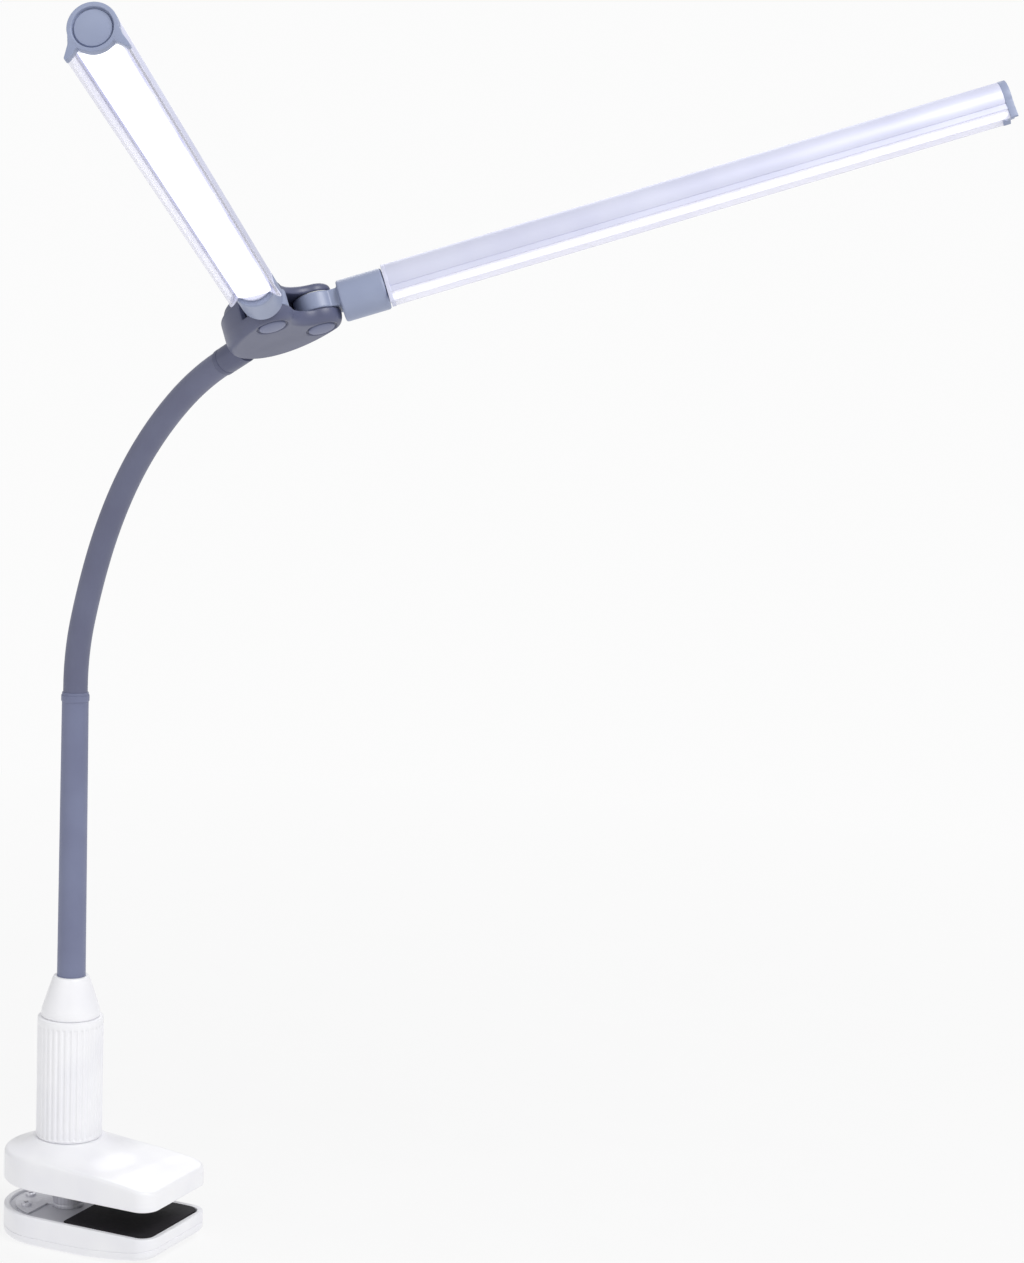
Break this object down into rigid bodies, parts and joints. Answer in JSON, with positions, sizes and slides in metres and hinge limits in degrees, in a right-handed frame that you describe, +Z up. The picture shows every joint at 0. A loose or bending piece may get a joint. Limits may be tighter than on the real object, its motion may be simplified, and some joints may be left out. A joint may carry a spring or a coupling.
{
  "type": "clip on reading lamp",
  "caption": "Clip-on reading lamp with a sprung desk clip, ribbed post, straight tube, flexible neck and two light bars that pan and roll on a hub.",
  "frame": {"origin": "middle of the upper jaw's rubber pad, on the top of the desk it clips to", "axes": "+Z up along the post, +X along the clip towards its mouth, +Y to the left of that"},
  "size_m": [0.4784, 0.4919, 0.6071],
  "materials": {
    "white_plastic": "semi-gloss moulded",
    "black_rubber": "matte",
    "steel": "plain zinc plated",
    "bracket_steel": "satin",
    "grey_steel": "matte grey",
    "bush_plastic": "matte acetal",
    "slate_paint": "soft-touch satin",
    "slate_silicone": "satin silicone",
    "slate_plastic": "satin",
    "slate_light": "satin",
    "white_shell": "satin powder coat",
    "clear_plastic": "clear gloss",
    "lit_diffuser": "frosted, lit",
    "board_white": "white solder mask",
    "led_yellow": "lit phosphor"
  },
  "bodies": {
    "clip_and_post": {"upper_jaw": "white_plastic", "upper_cover_plate": "white_plastic", "upper_pad": "black_rubber", "cable_gland": "black_rubber", "post_screws": "steel", "post_handle": "white_plastic", "post_cone": "white_plastic", "guide_bush": "bush_plastic", "return_spring": "steel", "lower_tube": "slate_paint", "tube_ring": "slate_paint", "tube_nut": "steel"},
    "lower_jaw": {"lower_jaw": "white_plastic", "lower_floor_plate": "grey_steel", "lower_pad": "black_rubber", "bracket_plate": "bracket_steel", "bracket_screws": "steel", "jaw_column": "steel", "column_collar": "bush_plastic"},
    "neck_1": {"neck_sleeve_1": "slate_silicone", "neck_core_1": "steel"},
    "neck_2": {"neck_sleeve_2": "slate_silicone", "neck_core_2": "steel"},
    "neck_3": {"neck_sleeve_3": "slate_silicone", "neck_core_3": "steel"},
    "neck_4": {"neck_sleeve_4": "slate_silicone", "neck_core_4": "steel"},
    "neck_5": {"neck_sleeve_5": "slate_silicone", "neck_core_5": "steel"},
    "hub": {"neck_sleeve_6": "slate_silicone", "neck_core_6": "steel", "neck_ferrule": "slate_plastic", "hub_lower_shell": "slate_plastic", "hub_upper_shell": "slate_plastic", "pivot_screws": "steel", "pivot_washers": "bush_plastic", "pivot_cap_right": "slate_plastic", "pivot_cap_left": "slate_plastic"},
    "knuckle_right": {"knuckle_right": "slate_light"},
    "bar_right": {"roll_spindle_right": "steel", "near_ring_right": "white_shell", "bar_shell_right": "white_shell", "lens_wings_right": "clear_plastic", "diffuser_right": "lit_diffuser", "led_board_right": "board_white", "leds_right": "led_yellow", "end_cap_right": "slate_plastic"},
    "knuckle_left": {"knuckle_left": "slate_light"},
    "bar_left": {"roll_spindle_left": "steel", "near_ring_left": "white_shell", "bar_shell_left": "white_shell", "lens_wings_left": "clear_plastic", "diffuser_left": "lit_diffuser", "led_board_left": "board_white", "leds_left": "led_yellow", "end_cap_left": "slate_plastic"}
  },
  "joints": [
    {"name": "jaw_slide", "type": "slide", "parent": "clip_and_post", "child": "lower_jaw", "axis": [0, 0, -1], "range_m": [0, 0.03], "stiffness_N_per_m": 500, "springref_m": -0.04, "deforming": ["return_spring"]},
    {"name": "neck_bend", "type": "hinge", "parent": "clip_and_post", "child": "neck_1", "pos_m": [-0.0375, 0, 0.2587], "axis": [0.309, 0.9511, 0], "range_deg": [-15, 15]},
    {"name": "neck_bend_2", "type": "hinge", "parent": "neck_1", "child": "neck_2", "pos_m": [-0.03288, -0.0015, 0.29325], "axis": [0.309, 0.9511, 0], "range_deg": [-15, 15]},
    {"name": "neck_sway", "type": "hinge", "parent": "neck_2", "child": "neck_3", "pos_m": [-0.02205, -0.00502, 0.32632], "axis": [-0.8818, 0.2865, 0.3746], "range_deg": [-15, 15]},
    {"name": "neck_bend_3", "type": "hinge", "parent": "neck_3", "child": "neck_4", "pos_m": [-0.00734, -0.0098, 0.35769], "axis": [0.309, 0.9511, 0], "range_deg": [-15, 15]},
    {"name": "neck_sway_2", "type": "hinge", "parent": "neck_4", "child": "neck_5", "pos_m": [0.01196, -0.01607, 0.38615], "axis": [-0.7232, 0.235, 0.6494], "range_deg": [-15, 15]},
    {"name": "neck_bend_4", "type": "hinge", "parent": "neck_5", "child": "hub", "pos_m": [0.03558, -0.02374, 0.41076], "axis": [0.309, 0.9511, 0], "range_deg": [-15, 15]},
    {"name": "pan_right", "type": "hinge", "parent": "hub", "child": "knuckle_right", "pos_m": [0.11235, -0.0324, 0.45907], "axis": [-0.4229, 0.1814, 0.8878], "range_deg": [-42, 48]},
    {"name": "roll_right", "type": "hinge", "parent": "knuckle_right", "child": "bar_right", "pos_m": [0.14156, -0.01803, 0.46892], "axis": [0.8469, 0.4278, 0.3159], "range_deg": [-102, 78]},
    {"name": "pan_left", "type": "hinge", "parent": "hub", "child": "knuckle_left", "pos_m": [0.10234, -0.06129, 0.46021], "axis": [0.4229, -0.1814, -0.8878], "range_deg": [-49.9, 40]},
    {"name": "roll_left", "type": "hinge", "parent": "knuckle_left", "child": "bar_left", "pos_m": [0.11277, -0.09204, 0.47033], "axis": [0.2942, -0.8992, 0.3239], "range_deg": [-85, 95]}
  ]
}
